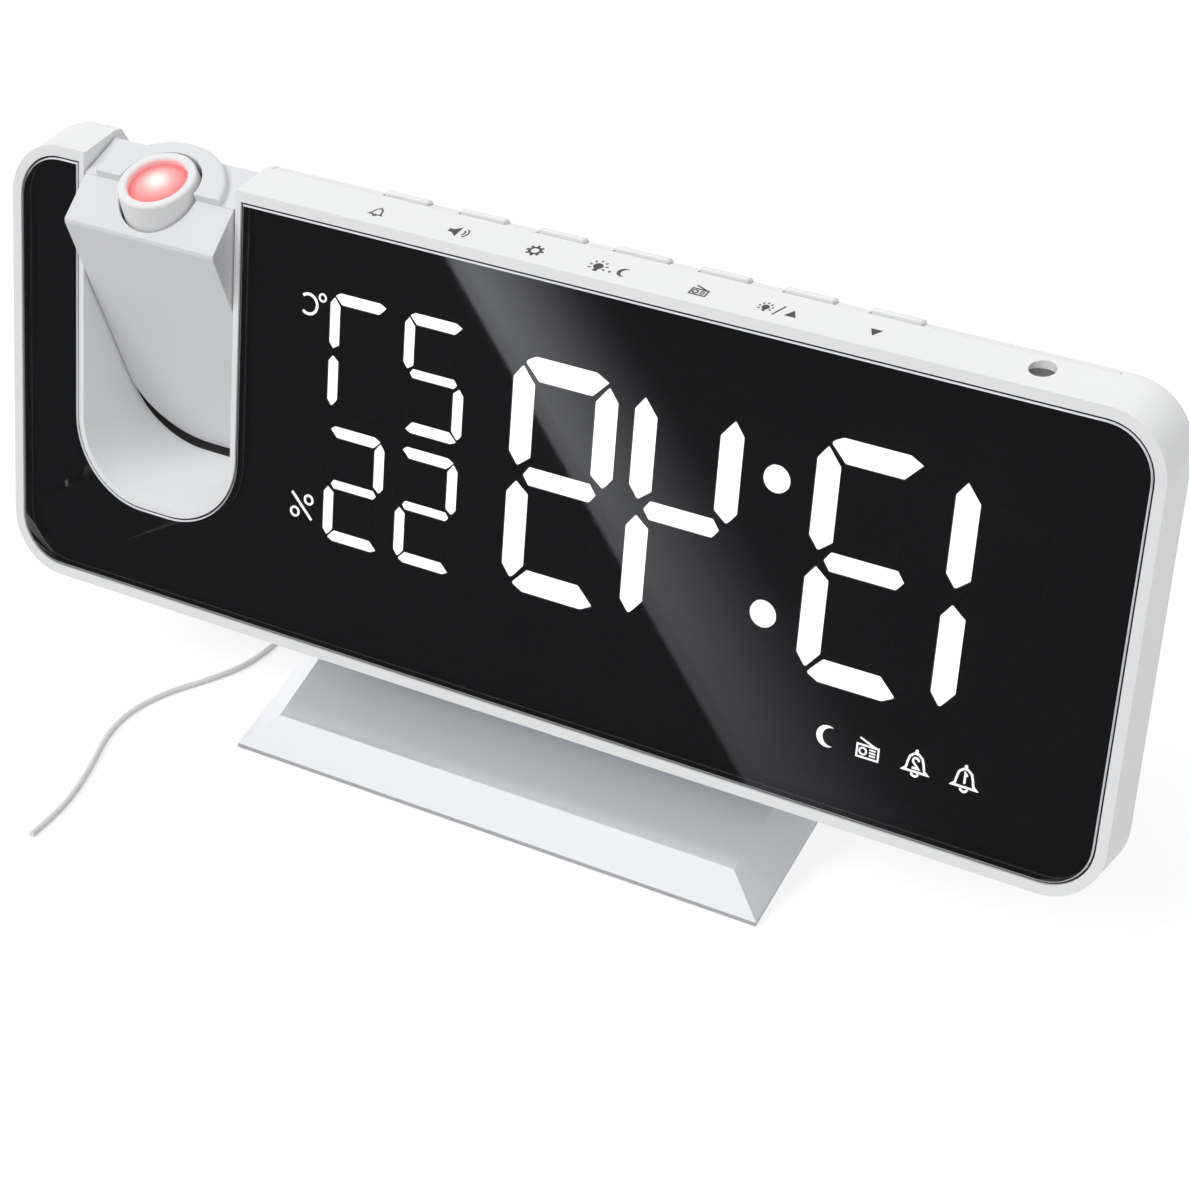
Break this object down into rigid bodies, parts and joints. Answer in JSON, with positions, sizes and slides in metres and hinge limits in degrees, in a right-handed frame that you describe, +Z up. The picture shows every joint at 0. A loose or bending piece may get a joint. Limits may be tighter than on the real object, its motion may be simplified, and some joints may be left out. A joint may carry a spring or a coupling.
{
  "type": "projection alarm clock",
  "caption": "Slim white alarm clock with a smoked mirror display, a projector arm that swings in a U-shaped slot, top buttons and a low silver foot",
  "frame": {"origin": "middle of the bounding box's base, on the surface that the clock stands on, without the antenna wire", "axes": "+Z up, the display faces -Y, +X to the viewer's right; the millimetres of the source are true size"},
  "size_m": [0.1898, 0.1021, 0.0899],
  "materials": {
    "shell_white": "satin white moulding",
    "arm_white": "satin white moulding",
    "button_white": "satin white moulding",
    "smoked_panel": "dark smoked acrylic, polished",
    "segment_lit": "milky light diffuser, lit white",
    "segment_dark": "milky light diffuser, not lit, seen through smoked acrylic",
    "guide_black": "matt black moulding",
    "board_green": "green lacquered circuit board",
    "chip_black": "black moulding",
    "led_body": "yellowish lamp resin",
    "sensor_smoke": "dark tinted light pipe",
    "steel": "plated steel",
    "nickel": "bright nickel",
    "cone_black": "black paper cone",
    "tongue_white": "white moulding",
    "rubber_white": "white rubber",
    "rubber_black": "black rubber",
    "lens_glass": "clear lens lit red from behind",
    "slide_glass": "grey liquid crystal slide",
    "foot_silver": "silver white satin lacquer",
    "wire_white": "white wire sleeve"
  },
  "bodies": {
    "clock": {"front_shell": "shell_white", "rear_cover": "shell_white", "display_panel": "smoked_panel", "light_guide": "guide_black", "time_segments": "segment_lit", "reading_segments": "segment_lit", "dark_segments": "segment_dark", "display_board": "board_green", "display_leds": "led_body", "main_board": "board_green", "board_chips": "chip_black", "button_board": "board_green", "button_switches": "chip_black", "sensor_window": "sensor_smoke", "speaker_frame": "steel", "speaker_cone": "cone_black", "battery_holder": "chip_black", "coin_cell": "nickel", "power_jack": "chip_black", "usb_shell": "nickel", "usb_tongue": "tongue_white", "antenna_gland": "rubber_white", "case_screws": "steel", "slot_bumper": "rubber_black", "foot_shell": "foot_silver", "foot_plate": "chip_black", "foot_weight": "steel", "foot_pads": "rubber_black", "foot_screws": "steel", "neck_screws": "steel", "antenna_wire": "wire_white"},
    "arm": {"arm_front": "arm_white", "arm_back": "arm_white", "arm_pins": "steel", "arm_washers": "steel", "arm_clips": "steel", "arm_screws": "steel", "projector_tube": "guide_black", "projector_slide": "slide_glass", "projector_board": "board_green", "projector_led": "led_body"},
    "focus": {"focus_ring": "arm_white", "lens": "lens_glass"},
    "hatch": {"battery_door": "shell_white"},
    "key_alarm": {"button_alarm": "button_white"},
    "key_volume": {"button_volume": "button_white"},
    "key_set": {"button_set": "button_white"},
    "key_snooze": {"button_snooze": "button_white"},
    "key_radio": {"button_radio": "button_white"},
    "key_up": {"button_up": "button_white"},
    "key_down": {"button_down": "button_white"}
  },
  "joints": [
    {"name": "arm_hinge", "type": "hinge", "parent": "clock", "child": "arm", "pos_m": [-0.0666, -0.00001, 0.0704], "axis": [1, 0, 0], "range_deg": [-119, 61]},
    {"name": "focus_turn", "type": "hinge", "parent": "arm", "child": "focus", "pos_m": [-0.0666, 0.00008, 0.07044], "axis": [0, -0.356, 0.9345], "range_deg": [-60, 60]},
    {"name": "hatch_slide", "type": "slide", "parent": "clock", "child": "hatch", "axis": [0, -0.1417, -0.9899], "range_m": [0, 0.018]},
    {"name": "press_alarm", "type": "slide", "parent": "clock", "child": "key_alarm", "axis": [0, -0.1417, -0.9899], "range_m": [0, 0.0007], "stiffness_N_per_m": 1500, "springref_m": -0.0002},
    {"name": "press_volume", "type": "slide", "parent": "clock", "child": "key_volume", "axis": [0, -0.1417, -0.9899], "range_m": [0, 0.0007], "stiffness_N_per_m": 1500, "springref_m": -0.0002},
    {"name": "press_set", "type": "slide", "parent": "clock", "child": "key_set", "axis": [0, -0.1417, -0.9899], "range_m": [0, 0.0007], "stiffness_N_per_m": 1500, "springref_m": -0.0002},
    {"name": "press_snooze", "type": "slide", "parent": "clock", "child": "key_snooze", "axis": [0, -0.1417, -0.9899], "range_m": [0, 0.0007], "stiffness_N_per_m": 1500, "springref_m": -0.0002},
    {"name": "press_radio", "type": "slide", "parent": "clock", "child": "key_radio", "axis": [0, -0.1417, -0.9899], "range_m": [0, 0.0007], "stiffness_N_per_m": 1500, "springref_m": -0.0002},
    {"name": "press_up", "type": "slide", "parent": "clock", "child": "key_up", "axis": [0, -0.1417, -0.9899], "range_m": [0, 0.0007], "stiffness_N_per_m": 1500, "springref_m": -0.0002},
    {"name": "press_down", "type": "slide", "parent": "clock", "child": "key_down", "axis": [0, -0.1417, -0.9899], "range_m": [0, 0.0007], "stiffness_N_per_m": 1500, "springref_m": -0.0002}
  ]
}
